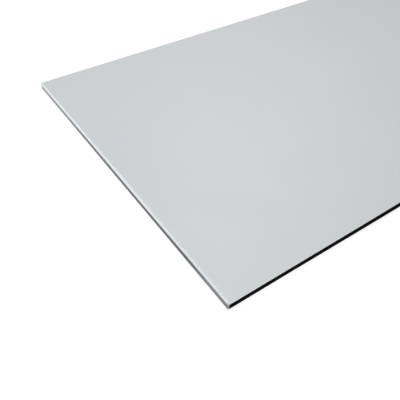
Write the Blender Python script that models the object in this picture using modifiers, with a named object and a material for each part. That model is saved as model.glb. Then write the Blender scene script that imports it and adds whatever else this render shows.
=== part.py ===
"""Aluminium composite panel, cut to a small sheet.

Two thin aluminium skins are bonded to a black polyethylene core. Both short ends are sheared: the blade rolls
the painted face skin over and draws it down across the core, almost to the back skin, so only metal shows
there. The long edges are sawn square, and the core shows between the skins.

Metres, +Z up, +X along the sheet, painted face up. The origin is the middle of the underside.
"""

import math

import bmesh
import bpy

# Sheet
LENGTH = 0.300
WIDTH = 0.200
THICKNESS = 0.004

# Layers
FACE_SKIN = 0.0005
BACK_SKIN = 0.0005
BOND_LINE = 0.00005  # adhesive film between the core and each skin

# Sheared ends
BEND_RADIUS = 0.0004  # inside of the face skin, where the blade rolled it over the core
BEND_FACETS = 16
NIP = 0.00005  # slit between the drawn lip's foot and the back skin

# Cut edges of the skins
ARRIS = 0.00004
ARRIS_ANGLE = math.radians(30)

MERGE_DISTANCE = 0.00001
COLLECTION = "aluminium_composite_panel"


def clear_scene():
    """Remove every object that the scene starts with."""
    for old in list(bpy.data.objects):
        bpy.data.objects.remove(old, do_unlink=True)


def make_material(name, colour, roughness, metallic):
    """A Principled material of one colour."""
    material = bpy.data.materials.new(name)
    material.use_nodes = True
    shader = material.node_tree.nodes["Principled BSDF"]
    shader.inputs["Base Color"].default_value = (*colour, 1.0)
    shader.inputs["Roughness"].default_value = roughness
    shader.inputs["Metallic"].default_value = metallic
    return material


def add_part(name, bm, material, collection):
    """An object from a finished bmesh, smooth except at its sharp edges."""
    mesh = bpy.data.meshes.new(name)
    bm.to_mesh(mesh)
    bm.free()
    mesh.materials.append(material)
    mesh.shade_smooth()
    mesh.set_sharp_from_angle(angle=ARRIS_ANGLE)
    part = bpy.data.objects.new(name, mesh)
    collection.objects.link(part)
    return part


def ease_cut_edges(part):
    """Take the burr off a skin's cut edges."""
    bevel = part.modifiers.new("arris", "BEVEL")
    bevel.limit_method = "ANGLE"
    bevel.angle_limit = ARRIS_ANGLE
    bevel.width = ARRIS
    bevel.segments = 1


def block(length, width, bottom, top):
    """A bmesh box, centred on the sheet, between two heights."""
    bm = bmesh.new()
    bmesh.ops.create_cube(bm, size=1.0)
    bmesh.ops.scale(bm, vec=(length, width, top - bottom), verts=bm.verts)
    bmesh.ops.translate(bm, vec=(0.0, 0.0, (bottom + top) / 2), verts=bm.verts)
    return bm


def face_profile():
    """The face skin's outside over half the sheet: (x, z) from the foot of the lip to the middle."""
    outside = BEND_RADIUS + FACE_SKIN
    centre_x = LENGTH / 2 - outside
    centre_z = THICKNESS - outside
    points = [(LENGTH / 2, BACK_SKIN + NIP)]
    for step in range(BEND_FACETS + 1):
        turn = math.radians(90) * step / BEND_FACETS
        x = centre_x + outside * math.cos(turn)
        z = centre_z + outside * math.sin(turn)
        points.append((x, z))
    points.append((0.0, THICKNESS))
    return points


def make_face_skin(collection):
    """The painted skin: flat over the core, rolled over and drawn down at both sheared ends."""
    bm = bmesh.new()
    line = [bm.verts.new((x, -WIDTH / 2, z)) for x, z in face_profile()]
    edges = [bm.edges.new(pair) for pair in zip(line, line[1:])]
    drawn = bmesh.ops.extrude_edge_only(bm, edges=edges)
    far_side = [item for item in drawn["geom"] if isinstance(item, bmesh.types.BMVert)]
    bmesh.ops.translate(bm, vec=(0.0, WIDTH, 0.0), verts=far_side)
    paint = make_material("coil_coated_aluminium", (0.61, 0.645, 0.665), 0.35, 0.0)
    skin = add_part("face_skin", bm, paint, collection)

    both_ends = skin.modifiers.new("both_ends", "MIRROR")
    both_ends.use_axis = (True, False, False)
    both_ends.merge_threshold = MERGE_DISTANCE
    gauge = skin.modifiers.new("gauge", "SOLIDIFY")
    gauge.thickness = FACE_SKIN
    gauge.offset = -1.0
    gauge.use_even_offset = True
    ease_cut_edges(skin)


def make_core(collection):
    """The polyethylene core, with its top corners pressed round under the rolled skin."""
    behind_skin = FACE_SKIN + BOND_LINE
    bottom = BACK_SKIN + BOND_LINE
    top = THICKNESS - behind_skin
    bm = block(LENGTH - 2 * behind_skin, WIDTH, bottom, top)
    top_verts = {vert for vert in bm.verts if vert.co.z > (bottom + top) / 2}
    rolled = [
        edge
        for edge in bm.edges
        if set(edge.verts) <= top_verts and edge.verts[0].co.x * edge.verts[1].co.x > 0
    ]
    bmesh.ops.bevel(
        bm,
        geom=rolled,
        offset=BEND_RADIUS - BOND_LINE,
        offset_type="OFFSET",
        segments=BEND_FACETS,
        profile=0.5,
        affect="EDGES",
        material=-1,
    )
    plastic = make_material("black_polyethylene", (0.008, 0.008, 0.009), 0.55, 0.0)
    add_part("core", bm, plastic, collection)


def make_back_skin(collection):
    """The mill-finish skin underneath, sheared off flush with the drawn lip."""
    bm = block(LENGTH, WIDTH, 0.0, BACK_SKIN)
    metal = make_material("mill_aluminium", (0.62, 0.63, 0.64), 0.4, 1.0)
    ease_cut_edges(add_part("back_skin", bm, metal, collection))


def main():
    clear_scene()
    collection = bpy.data.collections.new(COLLECTION)
    bpy.context.scene.collection.children.link(collection)
    make_face_skin(collection)
    make_core(collection)
    make_back_skin(collection)


main()
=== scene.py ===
# %% [markdown]
# # A small sheet of aluminium composite panel
#
# The sheet lies flat with its painted face up. It has three layers: a painted aluminium skin, a black
# polyethylene core and a plain aluminium skin underneath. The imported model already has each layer's true
# shape, so this file adds what the eye reads: paint, bare cut metal, sawn plastic, light and a camera.

# %% Load the three layers
import math

import bmesh
import bpy
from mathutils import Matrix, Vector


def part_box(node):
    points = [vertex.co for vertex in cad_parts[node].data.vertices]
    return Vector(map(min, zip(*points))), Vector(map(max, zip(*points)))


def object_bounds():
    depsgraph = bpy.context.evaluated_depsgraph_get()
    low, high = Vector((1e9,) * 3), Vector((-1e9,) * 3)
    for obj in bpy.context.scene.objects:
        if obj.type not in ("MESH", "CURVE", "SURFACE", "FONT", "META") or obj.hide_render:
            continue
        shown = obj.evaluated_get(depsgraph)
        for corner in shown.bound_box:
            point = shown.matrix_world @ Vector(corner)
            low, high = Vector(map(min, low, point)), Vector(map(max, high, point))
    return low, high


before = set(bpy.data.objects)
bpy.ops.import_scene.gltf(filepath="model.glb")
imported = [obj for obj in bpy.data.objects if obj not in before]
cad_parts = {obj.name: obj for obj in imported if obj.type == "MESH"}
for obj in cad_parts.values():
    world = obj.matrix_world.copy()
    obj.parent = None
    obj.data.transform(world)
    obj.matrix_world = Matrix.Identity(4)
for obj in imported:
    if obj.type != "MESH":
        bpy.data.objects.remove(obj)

MM_IN_METRE = 1000

cad_box = [list(corner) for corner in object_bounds()]
length, width, thickness = (high - low for low, high in zip(*cad_box))
print(f"sheet {length * MM_IN_METRE:.0f} x {width * MM_IN_METRE:.0f} x {thickness * MM_IN_METRE:.1f} mm")

# %% [markdown]
# ## Where the layers begin and end
#
# The short ends are sheared: the blade rolled the painted skin over the core and drew it down. The paint
# looks different on the bend, so the finish has to know where the bend starts. It starts at the outermost
# points of the skin that are still at full height, and the mesh itself says where those are. The finishes
# of the cut edges measure from the core, so its box is read here too.

# %% Measure the bend and the core
TOUCH = 0.000001

skin_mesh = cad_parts["face_skin"].data
bend_start = max(abs(vert.co.x) for vert in skin_mesh.vertices if thickness - vert.co.z < TOUCH)
bend_size = length / 2 - bend_start
core_low, core_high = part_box("core")
print(f"the bend takes {bend_size * MM_IN_METRE:.2f} mm of each end")
print(f"the core is {(core_high.z - core_low.z) * MM_IN_METRE:.2f} mm thick")

# %% [markdown]
# ## The camera
#
# The photograph was taken close up, from above the near left corner. Its focal length and angles come from
# the lines of the sheet's own edges, and the camera's place is measured from the sheet's near bottom
# corner. So the camera is set by real distances, and the sheet is never moved to suit it.

# %% Place the camera
LENS_MM = 43.639
SENSOR_MM = 36.0
LOOK_DOWN = math.radians(44.338)
LOOK_RIGHT = math.radians(34.287)
FROM_NEAR_CORNER = (-0.06981, -0.08225, 0.16622)
NEAREST_SEEN = 0.01

near_corner = (-length / 2, -width / 2, 0.0)
lens = bpy.data.cameras.new("camera")
lens.lens = LENS_MM
lens.sensor_width = SENSOR_MM
lens.clip_start = NEAREST_SEEN
camera = bpy.data.objects.new("camera", lens)
camera.location = [start + step for start, step in zip(near_corner, FROM_NEAR_CORNER)]
camera.rotation_euler = (math.radians(90) - LOOK_DOWN, 0.0, -LOOK_RIGHT)
bpy.context.collection.objects.link(camera)
bpy.context.scene.camera = camera
print("camera at", [round(value, 4) for value in camera.location])

# %% [markdown]
# ## Small helpers for shader nodes
#
# A procedural finish is a chain of small steps: take a coordinate, measure a distance, turn it into a mask,
# and mix two values by that mask. Each helper makes one such step and returns its output socket, so that a
# finish reads as a list of sentences. A helper takes a plain number or another node's socket.

# %% Feed a socket and do sums
def colour(red, green, blue):
    """A colour with full alpha."""
    return (red, green, blue, 1.0)


def feed(tree, socket, value):
    """Link a socket to another one, or set it to a plain value."""
    if isinstance(value, bpy.types.NodeSocket):
        tree.links.new(value, socket)
    else:
        socket.default_value = value


def maths(tree, operation, first, second=0.0):
    """One Math node."""
    node = tree.nodes.new("ShaderNodeMath")
    node.operation = operation
    feed(tree, node.inputs[0], first)
    feed(tree, node.inputs[1], second)
    return node.outputs[0]


print("helpers: colour, feed, maths")

# %% [markdown]
# A mask on a real surface hardly ever starts at a sharp line: paint thins out and dirt tapers off. So fade
# runs through a smooth step, and its two ends say how soft the border is. With low and high it also turns
# a measure straight into a value, such as a roughness.

# %% Fade and mix
def fade(tree, value, start, end, low=0.0, high=1.0):
    """Go smoothly from low to high while a value goes from start to end."""
    node = tree.nodes.new("ShaderNodeMapRange")
    node.interpolation_type = "SMOOTHSTEP"
    for name, setting in (
        ("Value", value),
        ("From Min", start),
        ("From Max", end),
        ("To Min", low),
        ("To Max", high),
    ):
        feed(tree, node.inputs[name], setting)
    return node.outputs["Result"]


def mix(tree, factor, low, high, kind="FLOAT"):
    """Mix two numbers, or with kind RGBA two colours."""
    node = tree.nodes.new("ShaderNodeMix")
    node.data_type = kind
    suffix = "Color" if kind == "RGBA" else "Float"
    sockets = {socket.identifier: socket for socket in node.inputs}
    feed(tree, sockets["Factor_Float"], factor)
    feed(tree, sockets[f"A_{suffix}"], low)
    feed(tree, sockets[f"B_{suffix}"], high)
    return next(out for out in node.outputs if out.identifier == f"Result_{suffix}")


print("helpers: fade, mix")

# %% [markdown]
# Most finishes here change near an edge of the sheet. Both ends are alike, and mostly so are both long
# edges, so two measures are enough: how far out a point is from the middle, and how far in it is from the
# nearer edge. A ragged line comes from adding a little noise to a measure before the mask is made from it.
# Blender's noise swings about one half, so that much is taken off it first.

# %% Helpers for edges
NOISE_MIDDLE = 0.5


def beyond(tree, coordinate, limit, blur):
    """A mask that is 1 where a coordinate is further than limit from the middle, both ways."""
    return fade(tree, maths(tree, "ABSOLUTE", coordinate), limit - blur, limit + blur)


def from_edge(tree, coordinate, edge):
    """The distance in from the nearer of two opposite edges."""
    return maths(tree, "SUBTRACT", edge, maths(tree, "ABSOLUTE", coordinate))


def ragged(tree, measure, marks, depth):
    """A measure with its zero line moved in and out by some marks, over a depth in metres."""
    wander = maths(tree, "MULTIPLY", maths(tree, "SUBTRACT", marks, NOISE_MIDDLE), depth)
    return maths(tree, "ADD", measure, wander)


print("helpers: beyond, from_edge, ragged")

# %% [markdown]
# ## Patterns that the finishes share
#
# **Streaks** are fine parallel lines: the rolling lines of sheet metal, the marks of a saw blade, the drag
# marks of a shear. They differ only in which way they run and how close they lie. A Wave texture would draw
# them all alike. One-dimensional noise gives lines of uneven strength, which look less drawn.
#
# A pattern that several finishes use is a node group, built once and placed in each material with that
# material's own values.

# %% Build the streaks
WANDER_SCALE = 40.0
WANDER_DETAIL = 1.0
LINE_DETAIL = 3.0


def new_group(name, inputs, output):
    """A node group with a vector input, some float inputs and one float output."""
    group = bpy.data.node_groups.new(name, "ShaderNodeTree")
    group.interface.new_socket("Vector", in_out="INPUT", socket_type="NodeSocketVector")
    for label, value in inputs.items():
        socket = group.interface.new_socket(label, in_out="INPUT", socket_type="NodeSocketFloat")
        socket.default_value = value
    group.interface.new_socket(output, in_out="OUTPUT", socket_type="NodeSocketFloat")
    return group, group.nodes.new("NodeGroupInput"), group.nodes.new("NodeGroupOutput")


def make_streaks():
    """Parallel lines across a coordinate, each a little wavy."""
    inputs = {"Across": 0.0, "Spacing": 0.001, "Waver": 0.0}
    group, given, result = new_group("streaks", inputs, "Height")
    wander = group.nodes.new("ShaderNodeTexNoise")
    wander.inputs["Scale"].default_value = WANDER_SCALE
    wander.inputs["Detail"].default_value = WANDER_DETAIL
    feed(group, wander.inputs["Vector"], given.outputs["Vector"])
    wavy = ragged(group, given.outputs["Across"], wander.outputs[0], given.outputs["Waver"])
    lines = group.nodes.new("ShaderNodeTexNoise")
    lines.noise_dimensions = "1D"
    lines.inputs["Scale"].default_value = 1.0
    lines.inputs["Detail"].default_value = LINE_DETAIL
    feed(group, lines.inputs["W"], maths(group, "DIVIDE", wavy, given.outputs["Spacing"]))
    feed(group, result.inputs["Height"], lines.outputs[0])
    return group


streaks_group = make_streaks()
print("pattern:", streaks_group.name)

# %% [markdown]
# **Blotches** are soft cloudy patches, for the slight unevenness of paint, of handling and of wear. They
# are plain noise whose size is given in metres. Nearly all of its values lie in a narrow range, so that
# range is stretched to run from 0 to 1.

# %% Build the blotches
NOISE_RANGE = (0.3, 0.7)


def make_blotches():
    """Soft cloudy patches of a given size."""
    group, given, result = new_group("blotches", {"Size": 0.05, "Detail": 2.0}, "Mask")
    cloud = group.nodes.new("ShaderNodeTexNoise")
    feed(group, cloud.inputs["Vector"], given.outputs["Vector"])
    feed(group, cloud.inputs["Scale"], maths(group, "DIVIDE", 1.0, given.outputs["Size"]))
    feed(group, cloud.inputs["Detail"], given.outputs["Detail"])
    feed(group, result.inputs["Mask"], fade(group, cloud.outputs[0], *NOISE_RANGE))
    return group


blotches_group = make_blotches()
print("pattern:", blotches_group.name)

# %% [markdown]
# Each layer lies at the origin with its place in its mesh, so Object coordinates are true metres from the
# middle of the sheet, and every finish can start from them. Fine relief, such as a saw's marks, is far
# thinner than a mesh could carry, so a Bump node makes it from a height.

# %% Start a finish
def place(tree, group, vector, **settings):
    """Add a pattern to a node tree, with its own values."""
    node = tree.nodes.new("ShaderNodeGroup")
    node.node_tree = group
    feed(tree, node.inputs["Vector"], vector)
    for name, value in settings.items():
        feed(tree, node.inputs[name], value)
    return node.outputs[0]


def new_finish(name):
    """A material with its Principled shader and the piece's own coordinates in metres."""
    material = bpy.data.materials.new(name)
    material.use_nodes = True
    tree = material.node_tree
    shader = tree.nodes["Principled BSDF"]
    spot = tree.nodes.new("ShaderNodeTexCoord").outputs["Object"]
    split = tree.nodes.new("ShaderNodeSeparateXYZ")
    feed(tree, split.inputs[0], spot)
    return material, tree, shader, spot, split.outputs


def emboss(tree, shader, height, distance):
    """Feed a height, in parts of a distance in metres, to the shader's normal."""
    bump = tree.nodes.new("ShaderNodeBump")
    bump.inputs["Strength"].default_value = 1.0
    bump.inputs["Distance"].default_value = distance
    feed(tree, bump.inputs["Height"], height)
    feed(tree, shader.inputs["Normal"], bump.outputs["Normal"])


print("helpers: place, new_finish, emboss")

# %% [markdown]
# ## What the shear leaves on the end
#
# The blade drags over the end and leaves a grey film of plastic and metal dust, with upright streaks. It
# starts clean at the far side and gathers dirt as it goes, so the film is lightest there. It is darkest
# past the middle, lighter again where the blade leaves the sheet, and a little darker in the last
# centimetre. Both skins get this film, so it is a group as well. It gives a mask: 0 where the film is
# thickest and 1 where the metal is nearly clean.

# %% Build the film of the shear
FILM_DARK = colour(0.055, 0.057, 0.056)
FILM_LIGHT = colour(0.355, 0.365, 0.350)
FIRST_CUT = (-0.030, 0.120)
LAST_CUT = (-0.068, -0.088)
LAST_CUT_CLEAN = 0.60
CORNER_CUT = (-0.088, -0.098)
CORNER_CLEAN = 0.52
STREAK_RANGE = (0.35, 0.65)
STREAK_CONTRAST = 0.10
DRAG_SPACING = 0.0008
DRAG_WAVER = 0.0002


def drag_marks(tree, spot, across):
    """The upright streaks that the blade leaves."""
    return place(tree, streaks_group, spot, Across=across, Spacing=DRAG_SPACING, Waver=DRAG_WAVER)


def make_film():
    """How clean the shear left the metal, by the place across the sheet."""
    group, given, result = new_group("shear_film", {"Across": 0.0}, "Clean")
    across = given.outputs["Across"]
    first_cut = fade(group, across, *FIRST_CUT)
    corner = fade(group, across, *CORNER_CUT, LAST_CUT_CLEAN, CORNER_CLEAN)
    last_cut = fade(group, across, *LAST_CUT, 0.0, corner)
    drag = drag_marks(group, given.outputs["Vector"], across)
    streaky = fade(group, drag, *STREAK_RANGE, 0.0, STREAK_CONTRAST)
    clean = maths(group, "ADD", maths(group, "MAXIMUM", first_cut, last_cut), streaky)
    feed(group, result.inputs["Clean"], clean)
    return group


film_group = make_film()
print("film:", film_group.name)

# %% [markdown]
# ## What the saw leaves on the long edges
#
# The saw cuts the skins bright and melts a little of the core, which smears black over the metal beside it.
# The smear reaches further where the blade had run for longer, so its reach grows with the distance from
# the nearer end. On the back skin this growing black is partly smear and partly a painted shadow from under
# the sheet's edge. Its border follows the saw's upright marks. It has no thickness to speak of, so it is a
# mask on each skin and not a piece of its own. It is measured outwards from the core, so each skin gives
# its own distance from it.

# %% Marks and smears of the saw
PLASTIC_SMEAR = colour(0.015, 0.015, 0.0145)
CUT_DEPTH = 0.00005
CUT_BLUR = 0.00001
SAW_SPACING = 0.0005
SMEAR_RAGGED = 0.00006


def saw_marks(tree, spot, along):
    """The upright marks of the saw blade."""
    return place(tree, streaks_group, spot, Across=along, Spacing=SAW_SPACING, Waver=0.0)


def cut_face(tree, coordinate, edge):
    """A mask that is 1 on the two cut faces at a pair of opposite edges."""
    return beyond(tree, coordinate, edge - CUT_DEPTH, CUT_BLUR)


def plastic_smear(tree, from_core, reach, marks):
    """A mask that is 1 from the core outwards, up to a ragged reach."""
    over = maths(tree, "SUBTRACT", ragged(tree, from_core, marks, SMEAR_RAGGED), reach)
    return fade(tree, over, -SMEAR_RAGGED / 2, SMEAR_RAGGED / 2, 1.0, 0.0)


print(f"saw marks every {SAW_SPACING * MM_IN_METRE:.1f} mm")

# %% [markdown]
# ## The painted face
#
# The face is coil coated: the paint was rolled on and baked before the sheet was made, so it is thin, even
# and satin, with a trace of orange peel. Round the bend the paint is made nearly white, except in the last
# millimetres beside the sawn edges. This white is partly the paint's own whitening where the blade stretched
# it, and partly a painted highlight for the light that the bend catches. The white line is narrower in the
# near half, and there a paler painted highlight also reaches a millimetre into the flat face. A second
# material on the bend would end in a hard line, so one function works out the colour from the place on the
# skin.

# %% Colour the paint
PAINT = colour(0.622, 0.651, 0.658)
PAINT_SHADE = colour(0.614, 0.644, 0.652)
# Near-white paint on the bend: partly stretch whitening, partly a painted highlight.
STRETCH_WHITE_AND_HIGHLIGHT = colour(0.885, 0.895, 0.885)
PAINT_CLOUD = 0.06
PAINT_CLOUD_DETAIL = 1.0
STRETCH_HIGHLIGHT_FROM = (0.30, 0.50)
STRETCH_HIGHLIGHT_NARROWS = (-0.010, -0.055)
STRETCH_HIGHLIGHT_BLUR = 0.30
NO_STRETCH_OR_HIGHLIGHT = 0.002
PULL_HIGHLIGHT_STARTS = (0.045, 0.010)
PULL_HIGHLIGHT_REACH = 0.0012
PULL_PALENESS_AND_HIGHLIGHT = 0.13


def paint_colour(tree, spot, along, across):
    """Even paint, made white on the bend: partly stretched paint, partly a painted highlight."""
    clouds = place(tree, blotches_group, spot, Size=PAINT_CLOUD, Detail=PAINT_CLOUD_DETAIL)
    paint = mix(tree, clouds, PAINT, PAINT_SHADE, "RGBA")
    from_bend = maths(tree, "SUBTRACT", maths(tree, "ABSOLUTE", along), bend_start)
    start = fade(tree, across, *STRETCH_HIGHLIGHT_NARROWS, *(bend_size * part for part in STRETCH_HIGHLIGHT_FROM))
    blur = bend_size * STRETCH_HIGHLIGHT_BLUR
    bend_white_and_highlight = fade(tree, maths(tree, "SUBTRACT", from_bend, start), -blur, blur)
    # A paler painted highlight that reaches into the flat face in the near half.
    pull = fade(tree, across, *PULL_HIGHLIGHT_STARTS, 0.0, PULL_PALENESS_AND_HIGHLIGHT)
    pulled_paleness_and_highlight = fade(tree, from_bend, -PULL_HIGHLIGHT_REACH, 0.0, 0.0, pull)
    held = fade(tree, from_edge(tree, across, width / 2), 0.0, NO_STRETCH_OR_HIGHLIGHT)
    # This white mask paints the bend's highlight together with the stretch whitening.
    white = maths(tree, "MULTIPLY", maths(tree, "MAXIMUM", bend_white_and_highlight, pulled_paleness_and_highlight), held)
    return mix(tree, white, paint, STRETCH_WHITE_AND_HIGHLIGHT, "RGBA")


# Where the painted highlight and the whitening start on the bend.
white_and_highlight_starts = [f"{bend_size * part * MM_IN_METRE:.2f}" for part in STRETCH_HIGHLIGHT_FROM]
print("the paint turns white", " to ".join(white_and_highlight_starts), "mm into the bend")

# %% [markdown]
# Below the bend the blade rubbed the paint off, so the lip shows the film of the shear. The line where the
# paint stops is ragged. It sags where the film is thickest and rises again towards both corners. The drag
# marks that streak the film also make this line ragged, so that the two belong together.

# %% Rub the lip bare
RUBBED_BELOW = 0.00287
RUB_DIP = 0.00035
RUB_DIP_AT = -0.035
RUB_DIP_REACH = 0.05
FAR_RISE = 0.0004
FAR_RISE_FROM = 0.092
NEAR_RISE = 0.0001
NEAR_RISE_OVER = (-0.045, -0.075)
RUB_RAGGED = 0.0001


def rubbed_bare(tree, across, up, drag):
    """A mask that is 1 below the ragged line where the paint stops."""
    from_dip = maths(tree, "ABSOLUTE", maths(tree, "SUBTRACT", across, RUB_DIP_AT))
    line = fade(tree, from_dip, 0.0, RUB_DIP_REACH, RUBBED_BELOW - RUB_DIP, RUBBED_BELOW)
    far_rise = fade(tree, across, FAR_RISE_FROM, width / 2, 0.0, FAR_RISE)
    near_rise = fade(tree, across, *NEAR_RISE_OVER, 0.0, NEAR_RISE)
    line = maths(tree, "ADD", line, maths(tree, "MAXIMUM", far_rise, near_rise))
    below = maths(tree, "SUBTRACT", line, up)
    return fade(tree, ragged(tree, below, drag, RUB_RAGGED), -RUB_RAGGED, RUB_RAGGED)


print(f"the paint stops {(thickness - RUBBED_BELOW) * MM_IN_METRE:.2f} mm below the face")

# %% [markdown]
# On the sawn edge the skin is a thin bright line along the top of the core, and it turns down in front of
# the core's end. The smear is measured from the core's top and from its end, whichever is further, so one
# mask covers both. Over the part that turns down it fades out towards the foot.

# %% Smear plastic over the face skin's edge
FACE_SMEAR = (0.00024, 0.00050)
FACE_SMEAR_GROWS = (0.074, 0.104)
LIP_SMEAR = (0.0, 0.00050)
LIP_SMEAR_GROWS = (0.0005, 0.0012)


def face_smear(tree, along, up, marks):
    """The core's plastic over the face skin's cut edge."""
    over_end = maths(tree, "SUBTRACT", maths(tree, "ABSOLUTE", along), core_high.x)
    over_top = maths(tree, "SUBTRACT", up, core_high.z)
    reach = fade(tree, from_edge(tree, along, length / 2), *FACE_SMEAR_GROWS, *FACE_SMEAR)
    lip_reach = fade(tree, up, *LIP_SMEAR_GROWS, *LIP_SMEAR)
    reach = mix(tree, fade(tree, over_end, 0.0, CUT_DEPTH), reach, lip_reach)
    return plastic_smear(tree, maths(tree, "MAXIMUM", over_end, over_top), reach, marks)


smear_reach = [f"{reach * MM_IN_METRE:.2f}" for reach in FACE_SMEAR]
print("the smear reaches", " to ".join(smear_reach), "mm above the core")

# %% [markdown]
# The skin's three surfaces come together in one material. Paint, rubbed lip and sawn edge each have their
# own colour, roughness and relief, and two masks choose between them: rubbed on the lip, sawn on the cut
# faces. Only clean cut metal is metallic, because the film and the smear cover it.

# %% Finish the painted skin
CUT_METAL = colour(0.66, 0.67, 0.67)
SATIN_ROUGH = (0.42, 0.47)
SATIN_CLOUD = 0.02
SATIN_CLOUD_DETAIL = 3.0
FILM_ROUGH = 0.5
SAWN_ROUGH = (0.25, 0.45)
PEEL_SIZE = 0.0035
PEEL_DETAIL = 1.0
COATER_SPACING = 0.003
COATER_WAVER = 0.0005
COATER_SHARE = 0.35
DRAG_DEPTHS = 4.0
SURFACE_DEPTH = 0.000004


def finish_face():
    """Satin paint, rubbed bare on the lip and cut bright along the sawn edges."""
    material, tree, shader, spot, (along, across, up) = new_finish("coil_coated_aluminium")
    drag = drag_marks(tree, spot, across)
    marks = saw_marks(tree, spot, along)
    rubbed = rubbed_bare(tree, across, up, drag)
    sawn = cut_face(tree, across, width / 2)
    plastic = face_smear(tree, along, up, marks)

    clean = place(tree, film_group, spot, Across=across)
    film = mix(tree, clean, FILM_DARK, FILM_LIGHT, "RGBA")
    skin = mix(tree, rubbed, paint_colour(tree, spot, along, across), film, "RGBA")
    cut = mix(tree, plastic, CUT_METAL, PLASTIC_SMEAR, "RGBA")
    feed(tree, shader.inputs["Base Color"], mix(tree, sawn, skin, cut, "RGBA"))
    bright = maths(tree, "SUBTRACT", 1.0, plastic)
    feed(tree, shader.inputs["Metallic"], maths(tree, "MULTIPLY", sawn, bright))

    clouds = place(tree, blotches_group, spot, Size=SATIN_CLOUD, Detail=SATIN_CLOUD_DETAIL)
    rough = mix(tree, rubbed, fade(tree, clouds, 0.0, 1.0, *SATIN_ROUGH), FILM_ROUGH)
    cut_rough = fade(tree, marks, *NOISE_RANGE, *SAWN_ROUGH)
    feed(tree, shader.inputs["Roughness"], mix(tree, sawn, rough, cut_rough))

    peel = place(tree, blotches_group, spot, Size=PEEL_SIZE, Detail=PEEL_DETAIL)
    coater = place(tree, streaks_group, spot, Across=across, Spacing=COATER_SPACING, Waver=COATER_WAVER)
    painted = mix(tree, COATER_SHARE, peel, coater)
    height = mix(tree, rubbed, painted, maths(tree, "MULTIPLY", drag, DRAG_DEPTHS))
    emboss(tree, shader, mix(tree, sawn, height, marks), SURFACE_DEPTH)
    return material


face_finish = finish_face()
print("made", face_finish.name)

# %% [markdown]
# ## The black core
#
# The core is polyethylene, sawn through along the sheet's long edges. A saw leaves fine upright marks and a
# dull surface that throws hardly any light back, which is why the edge reads as a black line. So it is
# rough, without gloss, and its marks and its paler scuffs only show close up.

# %% Finish the core
CORE_BLACK = colour(0.0145, 0.0148, 0.0142)
CORE_SCUFF = colour(0.030, 0.030, 0.030)
CORE_ROUGH = (0.62, 0.80)
CORE_MARK_SPACING = 0.0006
CORE_MARK_WAVER = 0.0002
SCUFF_SIZE = 0.002
SCUFF_DETAIL = 4.0
SCUFFED_ON = (0.5, 0.8)
SAW_DEPTH = 0.00003


def finish_core():
    """Dull black plastic with the saw's marks, scuffed paler on some of them."""
    material, tree, shader, spot, (along, _, _) = new_finish("sawn_black_polyethylene")
    marks = place(tree, streaks_group, spot, Across=along, Spacing=CORE_MARK_SPACING, Waver=CORE_MARK_WAVER)
    scuffs = place(tree, blotches_group, spot, Size=SCUFF_SIZE, Detail=SCUFF_DETAIL)
    worn = maths(tree, "MULTIPLY", fade(tree, marks, *SCUFFED_ON), scuffs)
    feed(tree, shader.inputs["Base Color"], mix(tree, worn, CORE_BLACK, CORE_SCUFF, "RGBA"))
    feed(tree, shader.inputs["Roughness"], fade(tree, scuffs, 0.0, 1.0, *CORE_ROUGH))
    shader.inputs["Specular IOR Level"].default_value = 0.0
    emboss(tree, shader, marks, SAW_DEPTH)
    return material


core_finish = finish_core()
print("made", core_finish.name)

# %% [markdown]
# ## The back skin
#
# The underside is mill-finish aluminium. The rolls leave fine lines along the sheet, which stretch its
# reflections across them. Its sawn edges are bright with black smears, which reach down from the core; the
# black there is partly a painted shadow from under the sheet's edge. Its sheared ends carry the darkest of
# the shear's film, darkened further as painted shade at the foot of the end, except in the last half
# millimetre at the near corner, where the saw left a strip of clean metal.

# %% Mark the back skin's edges
# Black over the back skin's sawn edge: partly smear, partly a painted shadow from under the sheet's edge.
BACK_SMEAR_AND_SHADOW = (0.0, 0.00054)
BACK_SMEAR_AND_SHADOW_GROWS = (0.020, 0.100)
CLEAN_STRIP = (0.000625, 0.000375)


def back_smear_and_shadow(tree, along, up, marks):
    """The core's plastic over the back skin's cut edge, with a painted shadow from under the sheet's edge."""
    below_core = maths(tree, "SUBTRACT", core_low.z, up)
    reach = fade(tree, from_edge(tree, along, length / 2), *BACK_SMEAR_AND_SHADOW_GROWS, *BACK_SMEAR_AND_SHADOW)
    return plastic_smear(tree, below_core, reach, marks)


def near_strip(tree, across):
    """A mask that is 1 on a strip along the near sawn edge."""
    return fade(tree, maths(tree, "ADD", across, width / 2), *CLEAN_STRIP)


print(f"the smear reaches up to {BACK_SMEAR_AND_SHADOW[1] * MM_IN_METRE:.2f} mm below the core")

# %% [markdown]
# The back skin is metal all over, apart from the smears. Its colour is built up in the order in which the
# marks came: the rolled sheet first, then the saw's bright cut, the smear and painted shadow over it, and
# the sheared ends with their film and painted shade.

# %% Finish the back skin
MILL = colour(0.56, 0.57, 0.58)
MILL_DULL = colour(0.48, 0.49, 0.50)
MILL_CLOUD = 0.05
MILL_CLOUD_DETAIL = 3.0
CUT_BACK_METAL = colour(0.90, 0.90, 0.90)
# The sheared end's film, darkened further as painted shade at the foot of the end.
BACK_CLEAN_WITH_SHADE = 0.25
ROLLING_SPACING = 0.0012
ROLLING_WAVER = 0.0004
ROLLED_ROUGH = (0.32, 0.46)
ROLLING_DEPTH = 0.000003


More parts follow.
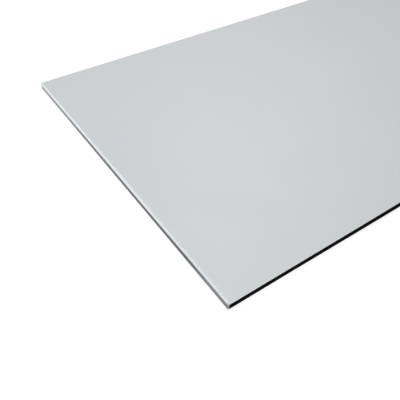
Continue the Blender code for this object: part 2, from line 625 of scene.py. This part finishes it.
def finish_back():
    """Rolled mill metal: sawn edges cut bright, then blacked by smear and painted shadow; sheared ends filmed
    and painted darker.
    """
    material, tree, shader, spot, (along, across, up) = new_finish("mill_aluminium")
    rolling = place(tree, streaks_group, spot, Across=across, Spacing=ROLLING_SPACING, Waver=ROLLING_WAVER)
    clouds = place(tree, blotches_group, spot, Size=MILL_CLOUD, Detail=MILL_CLOUD_DETAIL)
    sawn = cut_face(tree, across, width / 2)
    # The black on the back skin's sawn edges is partly smear and partly a painted shadow from under the
    # sheet.
    smear = back_smear_and_shadow(tree, along, up, saw_marks(tree, spot, along))
    plastic = maths(tree, "MULTIPLY", sawn, smear)
    # The sheared end's film is darkened further here: painted shade where the end meets the floor.
    clean = maths(tree, "MULTIPLY", place(tree, film_group, spot, Across=across), BACK_CLEAN_WITH_SHADE)
    sheared = mix(tree, clean, FILM_DARK, FILM_LIGHT, "RGBA")
    sheared = mix(tree, near_strip(tree, across), sheared, CUT_METAL, "RGBA")

    metal = mix(tree, clouds, MILL, MILL_DULL, "RGBA")
    metal = mix(tree, sawn, metal, CUT_BACK_METAL, "RGBA")
    metal = mix(tree, plastic, metal, PLASTIC_SMEAR, "RGBA")
    metal = mix(tree, cut_face(tree, along, length / 2), metal, sheared, "RGBA")
    feed(tree, shader.inputs["Base Color"], metal)
    feed(tree, shader.inputs["Metallic"], maths(tree, "SUBTRACT", 1.0, plastic))
    feed(tree, shader.inputs["Roughness"], fade(tree, rolling, *NOISE_RANGE, *ROLLED_ROUGH))
    emboss(tree, shader, rolling, ROLLING_DEPTH)
    return material


back_finish = finish_back()
print("made", back_finish.name)

# %% [markdown]
# ## Put the finishes on the layers
#
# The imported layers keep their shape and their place. Only the material in their slots changes.

# %% Dress the layers
for node, finish in (("face_skin", face_finish), ("core", core_finish), ("back_skin", back_finish)):
    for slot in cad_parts[node].material_slots:
        slot.material = finish
    print(node, "wears", finish.name)

# %% [markdown]
# ## The floor
#
# The photograph's background is pure white with hardly a shadow. More light on a pale floor would wash out
# the sheet too. So the floor is grey paint that glows white to the camera: it stays white, and the sheet's
# thin contact shadow stays faint. Mirror-like surfaces see the same glow, which is why the mask takes in
# glossy and transmitted rays too. No glow falls on the sheet as light. Further out, where the lamps fall
# off, the glow grows, so the floor meets the white room without a line.

# %% Lay the floor
FLOOR_SIZE = 6.0
FLOOR_PAINT = colour(0.4, 0.4, 0.4)
FLOOR_ROUGH = 0.9
FLOOR_GLOW = (0.76, 1.0)
GLOW_GROWS = (0.35, 1.5)
WHITE = colour(1.0, 1.0, 1.0)


def seeing_rays(tree):
    """1 for rays from the camera or by way of a gloss or glass, 0 for light falling on a surface."""
    ray = tree.nodes.new("ShaderNodeLightPath").outputs
    mirrored = maths(tree, "MAXIMUM", ray["Is Glossy Ray"], ray["Is Transmission Ray"])
    return maths(tree, "MAXIMUM", ray["Is Camera Ray"], mirrored)


def finish_floor():
    """Dull grey paint with a glow that only seeing rays meet."""
    material, tree, shader, spot, _ = new_finish("white_floor")
    shader.inputs["Base Color"].default_value = FLOOR_PAINT
    shader.inputs["Roughness"].default_value = FLOOR_ROUGH
    shader.inputs["Specular IOR Level"].default_value = 0.0
    shader.inputs["Emission Color"].default_value = WHITE
    span = tree.nodes.new("ShaderNodeVectorMath")
    span.operation = "LENGTH"
    feed(tree, span.inputs[0], spot)
    glow = fade(tree, span.outputs["Value"], *GLOW_GROWS, *FLOOR_GLOW)
    feed(tree, shader.inputs["Emission Strength"], maths(tree, "MULTIPLY", seeing_rays(tree), glow))
    return material


def make_floor():
    """A flat square centred under the sheet."""
    bm = bmesh.new()
    bmesh.ops.create_grid(bm, x_segments=1, y_segments=1, size=FLOOR_SIZE / 2)
    mesh = bpy.data.meshes.new("floor")
    bm.to_mesh(mesh)
    bm.free()
    mesh.materials.append(finish_floor())
    floor = bpy.data.objects.new("floor", mesh)
    bpy.context.collection.objects.link(floor)
    return floor


floor = make_floor()
print("floor", FLOOR_SIZE, "m square")

# %% [markdown]
# ## The light
#
# The light is a bright studio. A white room all round fills every shadow a little. It looks pure white to
# the camera and to mirror-like surfaces, but throws less light than it shows, so the lamps can shape the
# sheet.

# %% Light the room
ROOM_LEVEL = 0.295


def make_room():
    """A white world that lights the sheet less than it shows."""
    world = bpy.data.worlds.new("white_room")
    bpy.context.scene.world = world
    world.use_nodes = True
    tree = world.node_tree
    back = tree.nodes["Background"]
    back.inputs["Color"].default_value = WHITE
    feed(tree, back.inputs["Strength"], mix(tree, seeing_rays(tree), ROOM_LEVEL, 1.0))


make_room()
print("the room lights at", ROOM_LEVEL)

# %% [markdown]
# A soft box hangs low over the left half, and a second box high beyond the back edge. They make the face
# brightest left of its middle and let it fall off gently to the right. A cool lamp beyond the sheared end
# rakes the bend, and draws the bright line along it. It is hidden from glossy rays, because its low mirror
# image would wash the face out to white for anyone who looks along the sheet from the other end.

# %% Hang the lamps
NEUTRAL = (1.0, 1.0, 1.0)
COOL = (0.80, 0.86, 0.94)


def hang_lamp(name, place_at, aim_at, size, watts, tint):
    """A square soft box at one point, facing another."""
    lamp = bpy.data.lights.new(name, "AREA")
    lamp.shape = "SQUARE"
    lamp.size = size
    lamp.energy = watts
    lamp.color = tint
    holder = bpy.data.objects.new(name, lamp)
    holder.location = place_at
    away = [start - end for start, end in zip(place_at, aim_at)]
    turn = math.atan2(away[0], -away[1])
    tilt = math.atan2(math.hypot(away[0], away[1]), away[2])
    holder.rotation_euler = (tilt, 0.0, turn)
    bpy.context.collection.objects.link(holder)
    print(name, f"tilted {math.degrees(tilt):.0f} degrees")
    return holder


hang_lamp(
    "overhead",
    place_at=(-0.10, -0.03, 0.50),
    aim_at=(-0.10, -0.03, 0.0),
    size=0.25,
    watts=1.15,
    tint=NEUTRAL,
)
hang_lamp(
    "back_box",
    place_at=(0.34, 0.50, 0.75),
    aim_at=(-0.10, -0.02, 0.0),
    size=0.35,
    watts=1.33,
    tint=NEUTRAL,
)
end_lamp = hang_lamp(
    "end_lamp",
    place_at=(-0.846, 0.20, 0.19),
    aim_at=(-0.15, 0.0, 0.0),
    size=0.30,
    watts=3.0,
    tint=COOL,
)
end_lamp.visible_glossy = False

# %% [markdown]
# ## The view transform
#
# The render shows colours through Blender's Standard view transform.

# %% Set the view transform
print("sizes written")
bpy.context.scene.view_settings.view_transform = "Standard"
